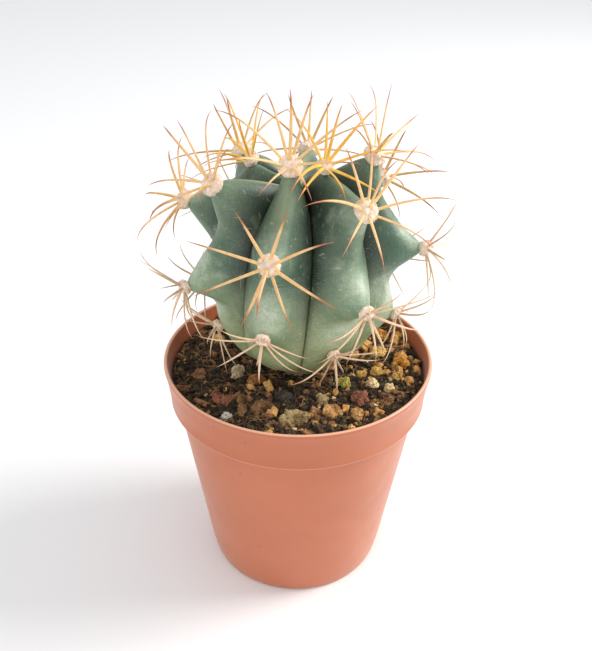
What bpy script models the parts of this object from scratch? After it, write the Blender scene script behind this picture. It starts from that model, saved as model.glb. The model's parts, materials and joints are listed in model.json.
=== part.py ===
"""A young round cactus rooted in gritty potting mix, in a small plastic nursery pot.

Metres, +Z up. The origin is the centre of the pot's underside, and -Y is the front.
"""

import itertools
import math
import random

import bmesh
import bpy
import numpy as np
from mathutils import Matrix, Vector
from mathutils.bvhtree import BVHTree

MM = 0.001
GAP = 0.3 * MM  # left between pieces that touch

# Pot
RIM_RADIUS = 27.5 * MM
BASE_RADIUS = 19.0 * MM
POT_HEIGHT = 50.0 * MM
POT_WALL = 1.0 * MM
LIP_WALL = 0.8 * MM
FLOOR = 1.4 * MM
BAND_HEIGHT = 8.7 * MM
BAND_TAPER = 1.1 * MM  # the rim band is this much narrower at its lower edge
BAND_STEP = 1.2 * MM  # the wall below the band is set in by this much
BASE_ROUNDING = 1.2 * MM
POT_STEPS = 48
DRAIN_HOLES = 5
DRAIN_RADIUS = 2.5 * MM
DRAIN_CIRCLE = 11.0 * MM

# Potting mix
SOIL_BELOW_LIP = 3.4 * MM
STONE_SINK = 0.38  # share of a stone's thickness that is pressed into the mix

# Stem
STEM_RADIUS = 16.6 * MM  # to the ridge of a rib between two tubercles
FOOT_RISE = 2.2 * MM  # the stem's rounded underside stands this far above the mix
LOWER_HEIGHT = 17.9 * MM  # from the underside to the widest level
UPPER_HEIGHT = 21.5 * MM  # from the widest level to the shoulder of the crown
LOWER_SQUARENESS = 2.35
UPPER_SQUARENESS = 2.7
CREASE_SHARE = 0.15  # depth of the creases between ribs, as a share of the distance from the stem's middle
CREASE_POWER = 3.0
CREASE_FADE = 80.0  # degrees of latitude over which the creases deepen, up from the root
CROWN_DIP = 2.5 * MM
CROWN_DIP_RADIUS = 5.5 * MM
ROOT_RADIUS = 4.0 * MM
ROOT_LENGTH = 14.0 * MM
RIB_AZIMUTHS = (-13, 33, 80, 132, 174, 215, 258, 295)  # degrees from the front, at the widest areoles
RIB_TWIST = 0.27  # degrees for each millimetre of height
COLUMNS_PER_RIB = 6
STEM_RINGS = 34

# Tubercles and areoles
TUBERCLE_REACH = 7.8 * MM  # from the ribs' ridges out to the widest areoles
ENVELOPE_HALF_HEIGHT = 22.2 * MM  # the areoles lie on an ellipse of revolution
ENVELOPE_CENTRE = 28.4 * MM  # above the soil
TUBERCLE_WIDTH = 7.5 * MM
TUBERCLE_LENGTH = 8.2 * MM  # along the rib
CROWN_LENGTHENING = 0.4  # the youngest tubercles are longer by this share
TUBERCLE_ROUNDING = 0.18
TUBERCLE_POWER = 1.4
LOWEST_FACING = -35.0  # degrees above level that the lowest areoles face
CROWN_FACING = 70.0
FACING_START = 18.4 * MM  # above the soil, where the areoles start to turn up
FACING_POWER = 1.35
# Heights above the soil of the areoles of each rib, in millimetres, oldest first.
RIB_AREOLES = (
    (18.5, 34.5, 48.0),
    (11.0, 24.0, 41.8),
    (15.5, 29.5, 46.8),
    (19.5, 36.0),
    (12.0, 25.5, 40.0),
    (16.0, 30.0, 41.0),
    (16.5, 35.0),
    (12.5, 22.5, 43.5),
)
# Rib, height above the soil and distance from the stem's axis of the youngest areoles, in the sunken crown.
CROWN_AREOLES = ((1, 44.5, 6.0), (6, 44.0, 9.0))
CROWN_SIZE = 0.7  # their pads beside those of the outer areoles
TIP_INSET = 1.3 * MM  # from the middle of the areole's pad back to the tip of the tubercle
PAD_RADIUS_LOW = 1.3 * MM
PAD_RADIUS_HIGH = 2.6 * MM
PAD_THICKNESS = 0.62  # share of the pad's radius
SPINE_LEVEL = 0.575  # share of the pad's thickness at which the radial spines leave it
PAD_STEP = 0.05 * MM  # a pad is moved out from the tubercle's tip by steps of this
SPINE_RADIUS = 0.27 * MM
SPINE_LENGTH = 8.0 * MM
SPINE_SPREAD = 5.0 * MM  # the side spines are longer by this much
RADIAL_SPINES = 8
RADIAL_LIFT = 16.0  # degrees above the pad's plane
CROWN_LIFT = 38.0  # the same for the youngest areoles
YOUNG_START = 38.0 * MM  # above the soil, where the areoles start to be young ones
SPINE_CLEARANCE = 0.3 * MM
TIGHT_CLEARANCE = 0.1 * MM  # where areoles crowd each other
ROOT_PROUD = 0.1 * MM  # a spine leaves its pad this far off the wool
SPINE_SAMPLES = 30
ROOT_SAMPLES = 2  # the first of these, beside the spine's own pad, may be near other pads and spines

# Name, bearing (degrees from the front), distance from the pot's axis (share of the mix's radius),
# length, width, thickness (millimetres), turn (degrees) and finish of each loose piece that is large
# enough to lift out.
STONES = (
    ("stone_pale_drop", -75, 0.49, 4.4, 2.7, 2.4, 70, "pale_stone"),
    ("bark_orange", -54, 0.40, 3.6, 2.8, 2.2, 20, "orange_bark"),
    ("bark_stick", -38, 0.68, 9.0, 1.9, 1.7, 98, "brown_bark"),
    ("bark_chip_brown", -25, 0.62, 5.2, 3.6, 2.2, 40, "brown_bark"),
    ("bark_chip_red", -50, 0.75, 4.4, 3.2, 2.2, 150, "red_bark"),
    ("bark_chip_dark", -13, 0.45, 4.2, 3.4, 1.8, 15, "dark_bark"),
    ("pebble_khaki", -2, 0.71, 6.2, 4.6, 3.0, 8, "khaki_stone"),
    ("pebble_amber_front", 22, 0.68, 4.2, 3.4, 3.0, 30, "amber_stone"),
    ("pebble_amber_right", 34, 0.78, 3.6, 2.6, 2.4, 110, "amber_stone"),
    ("bark_chunk_red", 46, 0.66, 4.2, 3.4, 2.8, 60, "red_bark"),
    ("pumice_cube_large", 65, 0.64, 3.1, 2.8, 2.8, 12, "pale_pumice"),
    ("pumice_cube_small", 66, 0.77, 2.5, 2.3, 2.3, 40, "pale_pumice"),
    ("pebble_brown", 55, 0.82, 3.6, 3.2, 2.6, 75, "brown_bark"),
    ("pumice_green", 55, 0.44, 3.4, 3.0, 2.6, 160, "green_pumice"),
    ("pumice_speck", 75, 0.52, 2.5, 2.2, 2.0, 50, "gold_pumice"),
    ("pumice_gold_middle", 81, 0.64, 2.7, 2.3, 2.2, 10, "gold_pumice"),
    ("pumice_gold_right", 79, 0.80, 2.3, 2.1, 2.0, 95, "gold_pumice"),
    ("pebble_orange_large", 92, 0.83, 4.4, 3.2, 3.0, 100, "orange_stone"),
    ("pumice_cluster", 105, 0.68, 4.8, 3.8, 3.0, 35, "gold_pumice"),
    ("pebble_orange_back", 122, 0.84, 3.6, 2.8, 2.6, 140, "orange_stone"),
    ("pebble_olive", 22, 0.50, 3.2, 2.6, 2.0, 120, "khaki_stone"),
    ("perlite_crumb", -37, 0.86, 2.3, 1.9, 1.8, 25, "perlite"),
    ("pebble_amber_back", 161, 0.77, 3.8, 3.2, 2.6, 65, "amber_stone"),
    ("bark_chip_back", -155, 0.73, 4.8, 3.2, 2.0, 15, "brown_bark"),
    ("pumice_back_left", -118, 0.76, 3.2, 2.8, 2.4, 130, "gold_pumice"),
    ("bark_chip_left", -78, 0.79, 3.8, 2.6, 1.9, 80, "brown_bark"),
)

# Colour, roughness and metallic value of each finish
FINISHES = {
    "pot_plastic": ((0.58, 0.20, 0.11), 0.42, 0.0),
    "peat": ((0.045, 0.028, 0.018), 0.95, 0.0),
    "stem_skin": ((0.10, 0.22, 0.15), 0.45, 0.0),
    "spine": ((0.78, 0.50, 0.28), 0.45, 0.0),
    "pale_stone": ((0.62, 0.55, 0.38), 0.85, 0.0),
    "orange_bark": ((0.45, 0.20, 0.07), 0.85, 0.0),
    "brown_bark": ((0.22, 0.12, 0.06), 0.9, 0.0),
    "red_bark": ((0.30, 0.12, 0.07), 0.9, 0.0),
    "dark_bark": ((0.07, 0.05, 0.04), 0.9, 0.0),
    "khaki_stone": ((0.36, 0.28, 0.15), 0.85, 0.0),
    "amber_stone": ((0.50, 0.30, 0.10), 0.85, 0.0),
    "orange_stone": ((0.62, 0.32, 0.07), 0.85, 0.0),
    "pale_pumice": ((0.72, 0.55, 0.25), 0.9, 0.0),
    "gold_pumice": ((0.62, 0.42, 0.12), 0.9, 0.0),
    "green_pumice": ((0.50, 0.46, 0.12), 0.9, 0.0),
    "perlite": ((0.80, 0.80, 0.74), 0.9, 0.0),
}

# Sizes that follow from those above
BAND_FOOT = POT_HEIGHT - BAND_HEIGHT
BAND_RADIUS = RIM_RADIUS - BAND_TAPER
SHOULDER_RADIUS = BAND_RADIUS - BAND_STEP
SOIL_TOP = POT_HEIGHT - SOIL_BELOW_LIP
STEM_FOOT = SOIL_TOP + GAP
STEM_MIDDLE = STEM_FOOT + FOOT_RISE + LOWER_HEIGHT
ENVELOPE_RADIUS = STEM_RADIUS + TUBERCLE_REACH
ROOT_LATITUDE = -math.acos((ROOT_RADIUS / STEM_RADIUS) ** (LOWER_SQUARENESS / 2))
ROOT_TOP = STEM_MIDDLE - LOWER_HEIGHT * math.sin(-ROOT_LATITUDE) ** (2 / LOWER_SQUARENESS)


def clear_scene():
    for old in list(bpy.data.objects):
        bpy.data.objects.remove(old, do_unlink=True)


def collection(name, hidden=False):
    made = bpy.data.collections.new(name)
    bpy.context.scene.collection.children.link(made)
    made.hide_render = hidden
    return made


def finish(name):
    """The material of this finish, made the first time it is asked for."""
    material = bpy.data.materials.get(name)
    if material:
        return material
    colour, roughness, metallic = FINISHES[name]
    material = bpy.data.materials.new(name)
    material.use_nodes = True
    shader = material.node_tree.nodes["Principled BSDF"]
    shader.inputs["Base Color"].default_value = (*colour, 1.0)
    shader.inputs["Roughness"].default_value = roughness
    shader.inputs["Metallic"].default_value = metallic
    return material


def part_from_bmesh(name, mesh, finish_name, home):
    """A named object with the bmesh's faces, shaded smooth but for its sharp edges."""
    bmesh.ops.recalc_face_normals(mesh, faces=mesh.faces)
    data = bpy.data.meshes.new(name)
    mesh.to_mesh(data)
    mesh.free()
    data.shade_smooth()
    data.set_sharp_from_angle(angle=math.radians(40))
    data.materials.append(finish(finish_name))
    made = bpy.data.objects.new(name, data)
    home.objects.link(made)
    return made


def turned(name, profile, finish_name, home):
    """A solid of revolution from (radius, height) points that run down its outer side."""
    data = bpy.data.meshes.new(name)
    points = [(radius, 0.0, height) for radius, height in profile]
    data.from_pydata(points, [(i, i + 1) for i in range(len(points) - 1)], [])
    data.materials.append(finish(finish_name))
    made = bpy.data.objects.new(name, data)
    home.objects.link(made)
    screw = made.modifiers.new("turn", "SCREW")
    screw.axis = "Z"
    screw.steps = POT_STEPS
    screw.render_steps = POT_STEPS
    screw.use_merge_vertices = True
    screw.merge_threshold = 0.01 * MM
    screw.use_smooth_shade = True
    return made


def as_helper(made):
    made.hide_render = True
    made.display_type = "WIRE"
    return made


def cut_by(made, cutters):
    cut = made.modifiers.new("cut", "BOOLEAN")
    cut.operation = "DIFFERENCE"
    cut.solver = "EXACT"
    cut.operand_type = "COLLECTION"
    cut.collection = cutters


def outer_radius(height):
    """The pot wall's outer radius below the rim band."""
    return BASE_RADIUS + (SHOULDER_RADIUS - BASE_RADIUS) * height / BAND_FOOT


def inner_wall():
    """(radius, height) points up the inside of the pot, from the floor to below the lip."""
    below_band = BAND_FOOT - POT_WALL
    return [
        (outer_radius(FLOOR) - POT_WALL, FLOOR),
        (outer_radius(below_band) - POT_WALL, below_band),
        (BAND_RADIUS - POT_WALL, BAND_FOOT),
        (RIM_RADIUS - LIP_WALL, POT_HEIGHT - LIP_WALL / 2),
    ]


def make_pot(home, cutters):
    lip_middle = RIM_RADIUS - LIP_WALL / 2
    lip = [
        (lip_middle + LIP_WALL / 2 * math.cos(turn), POT_HEIGHT - LIP_WALL / 2 * (1 - math.sin(turn)))
        for turn in (math.radians(a) for a in (135, 90, 45, 0))
    ]
    heel = [
        (
            BASE_RADIUS - BASE_ROUNDING * (1 - math.cos(turn)),
            BASE_ROUNDING * (1 - math.sin(turn)),
        )
        for turn in (math.radians(a) for a in (0, 30, 60, 90))
    ]
    profile = [(0.0, FLOOR), *inner_wall(), *lip, (BAND_RADIUS, BAND_FOOT)]
    profile += [(SHOULDER_RADIUS, BAND_FOOT - BAND_STEP / 4), *heel, (0.0, 0.0)]
    pot = turned("pot", profile, "pot_plastic", home)
    for i in range(DRAIN_HOLES):
        turn = 2 * math.pi * (i + 0.5) / DRAIN_HOLES
        hole = bmesh.new()
        bmesh.ops.create_cone(
            hole,
            cap_ends=True,
            segments=16,
            radius1=DRAIN_RADIUS,
            radius2=DRAIN_RADIUS,
            depth=4 * FLOOR,
            matrix=Matrix.Translation((DRAIN_CIRCLE * math.sin(turn), -DRAIN_CIRCLE * math.cos(turn), 0.0)),
        )
        as_helper(part_from_bmesh(f"drain_cutter_{i + 1}", hole, "pot_plastic", cutters))
    cut_by(pot, cutters)
    return pot


def wall_radius(height):
    """The inside radius of the pot at this height."""
    radii = [radius for radius, _ in inner_wall()]
    heights = [level for _, level in inner_wall()]
    return float(np.interp(height, heights, radii))


def make_soil(home, cutters):
    """The mix fills the pot to its level, a gap inside the wall."""
    floor = FLOOR + GAP
    heights = [SOIL_TOP, BAND_FOOT + GAP, BAND_FOOT - POT_WALL - GAP, floor]
    side = [(wall_radius(height) - GAP, height) for height in heights]
    soil = turned("potting_mix", [(0.0, SOIL_TOP), *side, (0.0, floor)], "peat", home)
    root = [(0.0, ROOT_TOP)]
    for step in range(9):
        share = math.sin(math.pi / 2 * step / 8)
        depth = share * (ROOT_LENGTH + GAP)
        root.append(((ROOT_RADIUS + GAP) * math.sqrt(1 - share**2), ROOT_TOP - depth))
    as_helper(turned("root_cutter", root, "peat", cutters))
    cut_by(soil, cutters)
    return soil


def stone_mesh(name, length, width, thickness, turn, place, grow=0.0):
    """An angular pebble, chip or stick: a ball of facets with its corners moved a little."""
    draw = random.Random(name)
    mesh = bmesh.new()
    bmesh.ops.create_icosphere(mesh, subdivisions=2, radius=1.0)
    for corner in mesh.verts:
        corner.co *= draw.uniform(0.86, 1.0)
    half = Vector((length, width, thickness)) / 2 + Vector((grow, grow, grow))
    bmesh.ops.scale(mesh, vec=half, verts=mesh.verts)
    bmesh.ops.rotate(mesh, matrix=Matrix.Rotation(math.radians(turn), 3, "Z"), verts=mesh.verts)
    bmesh.ops.translate(mesh, vec=place, verts=mesh.verts)
    return mesh


def make_stones(home, cutters):
    """Each loose piece, and the dimple it rests in."""
    stones = []
    soil_radius = wall_radius(SOIL_TOP) - GAP
    for name, bearing, share, length, width, thickness, turn, finish_name in STONES:
        size = [value * MM for value in (length, width, thickness)]
        azimuth = math.radians(bearing)
        out = share * soil_radius
        level = SOIL_TOP + size[2] * (0.5 - STONE_SINK)
        place = Vector((out * math.sin(azimuth), -out * math.cos(azimuth), level))
        stones.append(part_from_bmesh(name, stone_mesh(name, *size, turn, place), finish_name, home))
        dimple = stone_mesh(name, *size, turn, place, grow=1.25 * GAP)
        as_helper(part_from_bmesh(f"{name}_cutter", dimple, finish_name, cutters))
    return stones


def barrel_point(azimuth, latitude):
    """A point of the stem before its creases and tubercles, from its middle; both angles in radians."""
    rise = abs(math.sin(latitude))
    reach = math.cos(latitude)
    if latitude < 0:
        squareness, height = LOWER_SQUARENESS, -LOWER_HEIGHT
    else:
        squareness, height = UPPER_SQUARENESS, UPPER_HEIGHT
    radius = STEM_RADIUS * max(reach, 0.0) ** (2 / squareness)
    level = height * rise ** (2 / squareness)
    if latitude < ROOT_LATITUDE:
        share = math.sin(math.pi / 2 * (ROOT_LATITUDE - latitude) / (ROOT_LATITUDE + math.pi / 2))
        radius = ROOT_RADIUS * math.sqrt(max(1 - share**2, 0.0))
        level = ROOT_TOP - STEM_MIDDLE - share * ROOT_LENGTH
    return Vector((radius * math.sin(azimuth), -radius * math.cos(azimuth), level))


def inside_barrel(point):
    """Whether a point, from the stem's middle, is within the barrel's ridges."""
    if point.z < 0:
        squareness, height = LOWER_SQUARENESS, LOWER_HEIGHT
    else:
        squareness, height = UPPER_SQUARENESS, UPPER_HEIGHT
    across = math.hypot(point.x, point.y) / STEM_RADIUS
    return across**squareness + (abs(point.z) / height) ** squareness < 1


def rib_azimuth(rib, height):
    """Degrees from the front of a rib's ridge, at this height above the soil."""
    widest = ENVELOPE_CENTRE + 5.5 * MM
    return RIB_AZIMUTHS[rib] + RIB_TWIST * (height - widest) / MM


def areole_facing(height):
    """Degrees above level that an areole at this height above the soil faces."""
    crown = ENVELOPE_CENTRE + ENVELOPE_HALF_HEIGHT
    share = max(height - FACING_START, 0.0) / (crown - FACING_START)
    return LOWEST_FACING + (CROWN_FACING - LOWEST_FACING) * share**FACING_POWER


class Areole:
    """Where a tubercle's tip stands, the way it grew and the way its spines face."""

    def __init__(self, rib, level_name, height, reach, size=1.0):
        self.rib = rib
        self.name = f"spines_rib{rib + 1}_{level_name}"
        azimuth = math.radians(rib_azimuth(rib, height))
        self.outward = Vector((math.sin(azimuth), -math.cos(azimuth), 0.0))
        self.sideways = Vector((math.cos(azimuth), math.sin(azimuth), 0.0))
        facing = math.radians(areole_facing(height))
        growth = 0.75 * facing
        self.facing = self.outward * math.cos(facing) + Vector((0.0, 0.0, math.sin(facing)))
        self.growth = self.outward * math.cos(growth) + Vector((0.0, 0.0, math.sin(growth)))
        middle = self.outward * reach + Vector((0.0, 0.0, SOIL_TOP + height - STEM_MIDDLE))
        self.tip = middle - TIP_INSET * self.facing
        self.upward = self.sideways.cross(self.facing) * -1
        share = min(max(height / (ENVELOPE_CENTRE + 14 * MM), 0.0), 1.0)
        self.pad_radius = size * (PAD_RADIUS_LOW + (PAD_RADIUS_HIGH - PAD_RADIUS_LOW) * share)
        self.age = 1 - share
        crown = ENVELOPE_CENTRE + ENVELOPE_HALF_HEIGHT
        self.youth = min(max((height - YOUNG_START) / (crown - YOUNG_START), 0.0), 1.0)
        self.seat = self.find_seat()

    def find_seat(self):
        """The point of the barrel that this tubercle grew from."""
        step = 0.2 * MM
        point = self.tip.copy()
        while not inside_barrel(point):
            point -= self.growth * step
        return point


def envelope_reach(height):
    offset = (height - ENVELOPE_CENTRE) / ENVELOPE_HALF_HEIGHT
    return ENVELOPE_RADIUS * math.sqrt(1 - offset**2)


def all_areoles():
    """Every areole: two or three down each rib, and the youngest ones in the crown."""
    areoles = []
    for rib, heights in enumerate(RIB_AREOLES):
        names = ("low", "middle", "high") if len(heights) == 3 else ("middle", "high")
        for level_name, height in zip(names, heights):
            areoles.append(Areole(rib, level_name, height * MM, envelope_reach(height * MM)))
    for rib, height, reach in CROWN_AREOLES:
        areoles.append(Areole(rib, "crown", height * MM, reach * MM, CROWN_SIZE))
    return areoles


def pull(share):
    """How far a point follows its tubercle, at this share of the tubercle's half width."""
    blunt = math.hypot(share, TUBERCLE_ROUNDING) - TUBERCLE_ROUNDING
    whole = math.hypot(1.0, TUBERCLE_ROUNDING) - TUBERCLE_ROUNDING
    return max(1 - blunt / whole, 0.0) ** TUBERCLE_POWER


def stem_point(rib, across, latitude, areoles):
    """A point of the grown stem, from its middle; across runs from -1 to 1 over a rib."""
    beside = RIB_AZIMUTHS[(rib + (1 if across > 0 else -1)) % len(RIB_AZIMUTHS)]
    half_gap = ((beside - RIB_AZIMUTHS[rib] + 180) % 360 - 180) / 2
    straight = barrel_point(0.0, latitude)
    height = STEM_MIDDLE + straight.z - SOIL_TOP
    azimuth = math.radians(rib_azimuth(rib, height) + abs(across) * half_gap)
    point = barrel_point(azimuth, latitude)
    fade = min(max((latitude - ROOT_LATITUDE) / math.radians(CREASE_FADE), 0.0), 1.0)
    point *= 1 - CREASE_SHARE * fade * abs(across) ** CREASE_POWER
    if latitude > 0:
        across_crown = math.hypot(point.x, point.y)
        point.z -= CROWN_DIP * math.exp(-((across_crown / CROWN_DIP_RADIUS) ** 2))
    held = 1 - abs(across) ** CREASE_POWER
    moved = point.copy()
    for areole in areoles:
        if areole.rib != rib:
            continue
        offset = point - areole.seat
        side = offset.dot(areole.sideways)
        along = (offset - side * areole.sideways).length
        length = TUBERCLE_LENGTH * (1 + CROWN_LENGTHENING * areole.youth)
        share = math.hypot(side / TUBERCLE_WIDTH, along / length)
        moved += pull(share) * held * (areole.tip - areole.seat)
    return moved


def settle_seats(areoles):
    """Moves each seat to the nearest corner that the stem's mesh has on that rib's ridge."""
    latitudes = [math.pi * (ring / STEM_RINGS - 0.5) for ring in range(1, STEM_RINGS)]
    for areole in areoles:
        ridge = [stem_point(areole.rib, 0.0, latitude, []) for latitude in latitudes]
        areole.seat = min(ridge, key=lambda corner: (corner - areole.seat).length)


def make_stem(areoles, home):
    ribs = len(RIB_AZIMUTHS)
    settle_seats(areoles)
    mesh = bmesh.new()
    bmesh.ops.create_uvsphere(mesh, u_segments=ribs * COLUMNS_PER_RIB, v_segments=STEM_RINGS, radius=1.0)
    for corner in mesh.verts:
        latitude = math.asin(min(max(corner.co.z, -1.0), 1.0))
        column = math.atan2(corner.co.x, -corner.co.y) / (2 * math.pi) * ribs
        rib = round(column)
        across = 2 * (column - rib)
        corner.co = stem_point(rib % ribs, across, latitude, areoles)
    bmesh.ops.translate(mesh, vec=(0.0, 0.0, STEM_MIDDLE), verts=mesh.verts)
    return part_from_bmesh("stem", mesh, "stem_skin", home)


def tree_of(made):
    """A search tree of an object's evaluated faces, in world space."""
    graph = bpy.context.evaluated_depsgraph_get()
    evaluated = made.evaluated_get(graph)
    data = evaluated.to_mesh()
    points = [made.matrix_world @ vertex.co for vertex in data.vertices]
    faces = [tuple(face.vertices) for face in data.polygons]
    evaluated.to_mesh_clear()
    return BVHTree.FromPolygons(points, faces)


def is_crowded(point, way_out, room, tree):
    """Whether a point is inside the tree's solid or nearer to it than this."""
    if tree.find_nearest(point, room)[0]:
        return True
    normal = tree.ray_cast(point, way_out)[1]
    return normal is not None and normal.dot(way_out) > 0


def pad_place(areole, stem_tree):
    """Where the middle of the pad's flat back goes: just far enough out to leave a gap all round it."""
    place = areole.tip + Vector((0.0, 0.0, STEM_MIDDLE))
    rise = areole.facing * areole.pad_radius * PAD_THICKNESS * SPINE_LEVEL
    points = [(Vector(), GAP)]
    for step in range(16):
        turn = 2 * math.pi * step / 16
        flat = areole.sideways * math.cos(turn) + areole.upward * math.sin(turn)
        points.append((0.4 * areole.pad_radius * flat, GAP))
        points.append((0.8 * areole.pad_radius * flat, GAP))
        points.append((areole.pad_radius * flat + rise, SPINE_RADIUS + SPINE_CLEARANCE))
    while any(is_crowded(place + offset, areole.facing, room, stem_tree) for offset, room in points):
        place += areole.facing * PAD_STEP
    return place


def spine_path(root, direction, bend, length):
    """Three points along a spine that curves from its direction towards the bend."""
    middle = root + direction * length * 0.55
    tip = root + (direction + bend).normalized() * length
    return [root, middle, tip]


def samples_of(path):
    """Evenly spaced points along a spine's path."""
    shares = np.linspace(0.0, 1.0, SPINE_SAMPLES)
    points = np.array([list(point) for point in path])
    return np.stack([np.interp(shares, (0.0, 0.5, 1.0), points[:, axis]) for axis in range(3)], axis=1)


def is_clear(samples, clearance, trees, pads, grown):
    """Whether a spine keeps its clearance from the solids, the other pads and the spines already grown."""
    reach = SPINE_RADIUS + clearance
    free = samples[ROOT_SAMPLES:]
    for middle, radius in pads:
        if np.linalg.norm(free - middle, axis=1).min() < radius + reach:
            return False
    for tree in trees:
        if any(tree.find_nearest(Vector(point), reach)[0] for point in samples):
            return False
    if not grown:
        return True
    others = np.concatenate(grown)
    nearest = np.linalg.norm(free[:, None] - others[None], axis=2).min()
    return nearest > 2 * SPINE_RADIUS + clearance


def spine_directions(areole, draw):
    """(direction, length, bend) of each spine that an areole would like to grow."""
    wanted = []
    long_side = SPINE_SPREAD * (1 - 0.4 * areole.age)
    least_lift = RADIAL_LIFT + (CROWN_LIFT - RADIAL_LIFT) * areole.youth
    for step in range(RADIAL_SPINES):
        turn = 2 * math.pi * (step + 0.35) / RADIAL_SPINES + draw.uniform(-0.12, 0.12)
        lift = math.radians(least_lift + draw.uniform(-6, 8))
        flat = areole.sideways * math.sin(turn) + areole.upward * math.cos(turn)
        direction = flat * math.cos(lift) + areole.facing * math.sin(lift)
        length = SPINE_LENGTH * (1 - 0.35 * areole.age) + long_side * abs(math.sin(turn))
        wanted.append((direction, length, areole.facing * draw.uniform(-0.12, 0.05)))
    high = areole.age < 0.15
    central = areole.facing + areole.upward * (0.6 if high else -1.0)
    length = SPINE_LENGTH * (1.45 if high else 1.15 - 0.4 * areole.age)
    wanted.append((central.normalized(), length, Vector((0.0, 0.0, -0.15))))
    return wanted


def clear_path(root, wanted, areole, trees, pads, grown):
    """The wanted path, or the nearest to it that is clear, turned towards the way the areole faces."""
    direction, length, bend = wanted
    tries = itertools.product(
        (SPINE_CLEARANCE, TIGHT_CLEARANCE),
        (1.0, 0.8, 0.6, 0.4, 0.25, 0.12),
        (0.0, 0.15, 0.3, 0.5, 0.75, 1.0, 1.4, 2.0, -0.2, -0.4),
        (0.0, 0.15, -0.15, 0.3, -0.3, 0.5, -0.5, 0.8, -0.8),
    )
    for clearance, shortened, towards, aside in tries:
        swing = areole.facing.cross(direction) * aside
        turned_to = (direction + areole.facing * towards + swing).normalized()
        path = spine_path(root, turned_to, bend, length * shortened)
        samples = samples_of(path)
        if is_clear(samples, clearance, trees, pads, grown):
            return path, samples
    raise ValueError(f"no clear way for a spine of {areole.name}")


def add_spine(mesh, face, path, radius):
    """Draws a face of the pad out along a path to a point."""
    widths = (radius, 0.75 * radius, 0.0)
    for index, (point, width) in enumerate(zip(path, widths)):
        before = path[max(index - 1, 0)]
        after = path[min(index + 1, len(path) - 1)]
        along = (after - before).normalized()
        made = bmesh.ops.extrude_discrete_faces(mesh, faces=[face])["faces"]
        face = made[0]
        middle = face.calc_center_median()
        for corner in face.verts:
            offset = corner.co - middle
            offset -= along * offset.dot(along)
            corner.co = point + offset.normalized() * width
    bmesh.ops.pointmerge(mesh, verts=face.verts, merge_co=path[-1])


def pad_mesh(areole, place):
    """The wool pad, and its faces that carry the radial spines and the central one."""
    mesh = bmesh.new()
    height = areole.pad_radius * PAD_THICKNESS
    below = SPINE_LEVEL - 0.225
    above = SPINE_LEVEL + 0.225
    rings = ((0.8, 0.0), (1.0, below), (0.9, above), (0.4, 1.0))
    rows = []
    for width, rise in rings:
        row = []
        for step in range(RADIAL_SPINES):
            turn = 2 * math.pi * (step - 0.15) / RADIAL_SPINES
            flat = areole.sideways * math.sin(turn) + areole.upward * math.cos(turn)
            row.append(mesh.verts.new(place + flat * width * areole.pad_radius + areole.facing * rise * height))
        rows.append(row)
    mesh.faces.new(rows[0])
    top = mesh.faces.new(reversed(rows[-1]))
    carriers = []
    for low, high in zip(rows, rows[1:]):
        for step in range(RADIAL_SPINES):
            after = (step + 1) % RADIAL_SPINES
            side = mesh.faces.new((low[step], high[step], high[after], low[after]))
            if low is rows[1]:
                carriers.append(side)
    return mesh, [*carriers, top]


def make_spines(areoles, trees, stem_tree, home):
    """One piece for each areole: its wool pad with the spines grown from it, the crown's first."""
    areoles = sorted(areoles, key=lambda one: one.age)
    places = [pad_place(areole, stem_tree) for areole in areoles]
    grown = []
    for areole, place in zip(areoles, places):
        draw = random.Random(areole.name)
        mesh, carriers = pad_mesh(areole, place)
        pads = [
            (np.array(list(middle)), other.pad_radius)
            for other, middle in zip(areoles, places)
            if other is not areole
        ]
        mine = []
        for face, wanted in zip(carriers, spine_directions(areole, draw)):
            root = face.calc_center_median() + wanted[0] * ROOT_PROUD
            path, samples = clear_path(root, wanted, areole, trees, pads, grown)
            add_spine(mesh, face, path, SPINE_RADIUS * (1.25 - 0.4 * areole.age))
            mine.append(samples)
        grown += mine
        part_from_bmesh(areole.name, mesh, "spine", home)


def main():
    clear_scene()
    parts = collection("potted_round_cactus")
    pot_cutters = collection("pot_cutters", hidden=True)
    soil_cutters = collection("soil_cutters", hidden=True)
    pot = make_pot(parts, pot_cutters)
    stones = make_stones(parts, soil_cutters)
    soil = make_soil(parts, soil_cutters)
    areoles = all_areoles()
    stem = make_stem(areoles, parts)
    bpy.context.view_layer.update()
    stem_tree = tree_of(stem)
    trees = [stem_tree, tree_of(pot), tree_of(soil), *[tree_of(stone) for stone in stones]]
    make_spines(areoles, trees, stem_tree, parts)


main()
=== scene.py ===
"""Looks of a young round cactus in gritty potting mix, in a small plastic nursery pot.

Metres, +Z up. The origin is the centre of the pot's underside, and -Y is the front.
"""

import json
import math
import random

import bpy
import numpy as np
from mathutils import Matrix, Vector, noise
from mathutils.bvhtree import BVHTree


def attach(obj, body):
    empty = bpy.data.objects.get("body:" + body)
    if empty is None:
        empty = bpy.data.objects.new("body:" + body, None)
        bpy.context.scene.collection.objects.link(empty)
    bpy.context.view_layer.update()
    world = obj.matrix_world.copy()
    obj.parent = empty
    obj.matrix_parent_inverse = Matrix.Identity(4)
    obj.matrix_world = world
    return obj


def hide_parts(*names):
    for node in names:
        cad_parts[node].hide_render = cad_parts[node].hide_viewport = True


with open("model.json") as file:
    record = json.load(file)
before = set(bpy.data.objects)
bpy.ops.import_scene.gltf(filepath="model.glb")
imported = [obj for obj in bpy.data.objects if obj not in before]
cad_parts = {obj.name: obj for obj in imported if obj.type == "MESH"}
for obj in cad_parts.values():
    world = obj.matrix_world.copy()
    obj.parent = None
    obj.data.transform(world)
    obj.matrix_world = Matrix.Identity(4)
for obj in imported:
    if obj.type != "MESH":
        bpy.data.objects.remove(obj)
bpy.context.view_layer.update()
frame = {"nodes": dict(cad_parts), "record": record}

MM = 0.001

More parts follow.
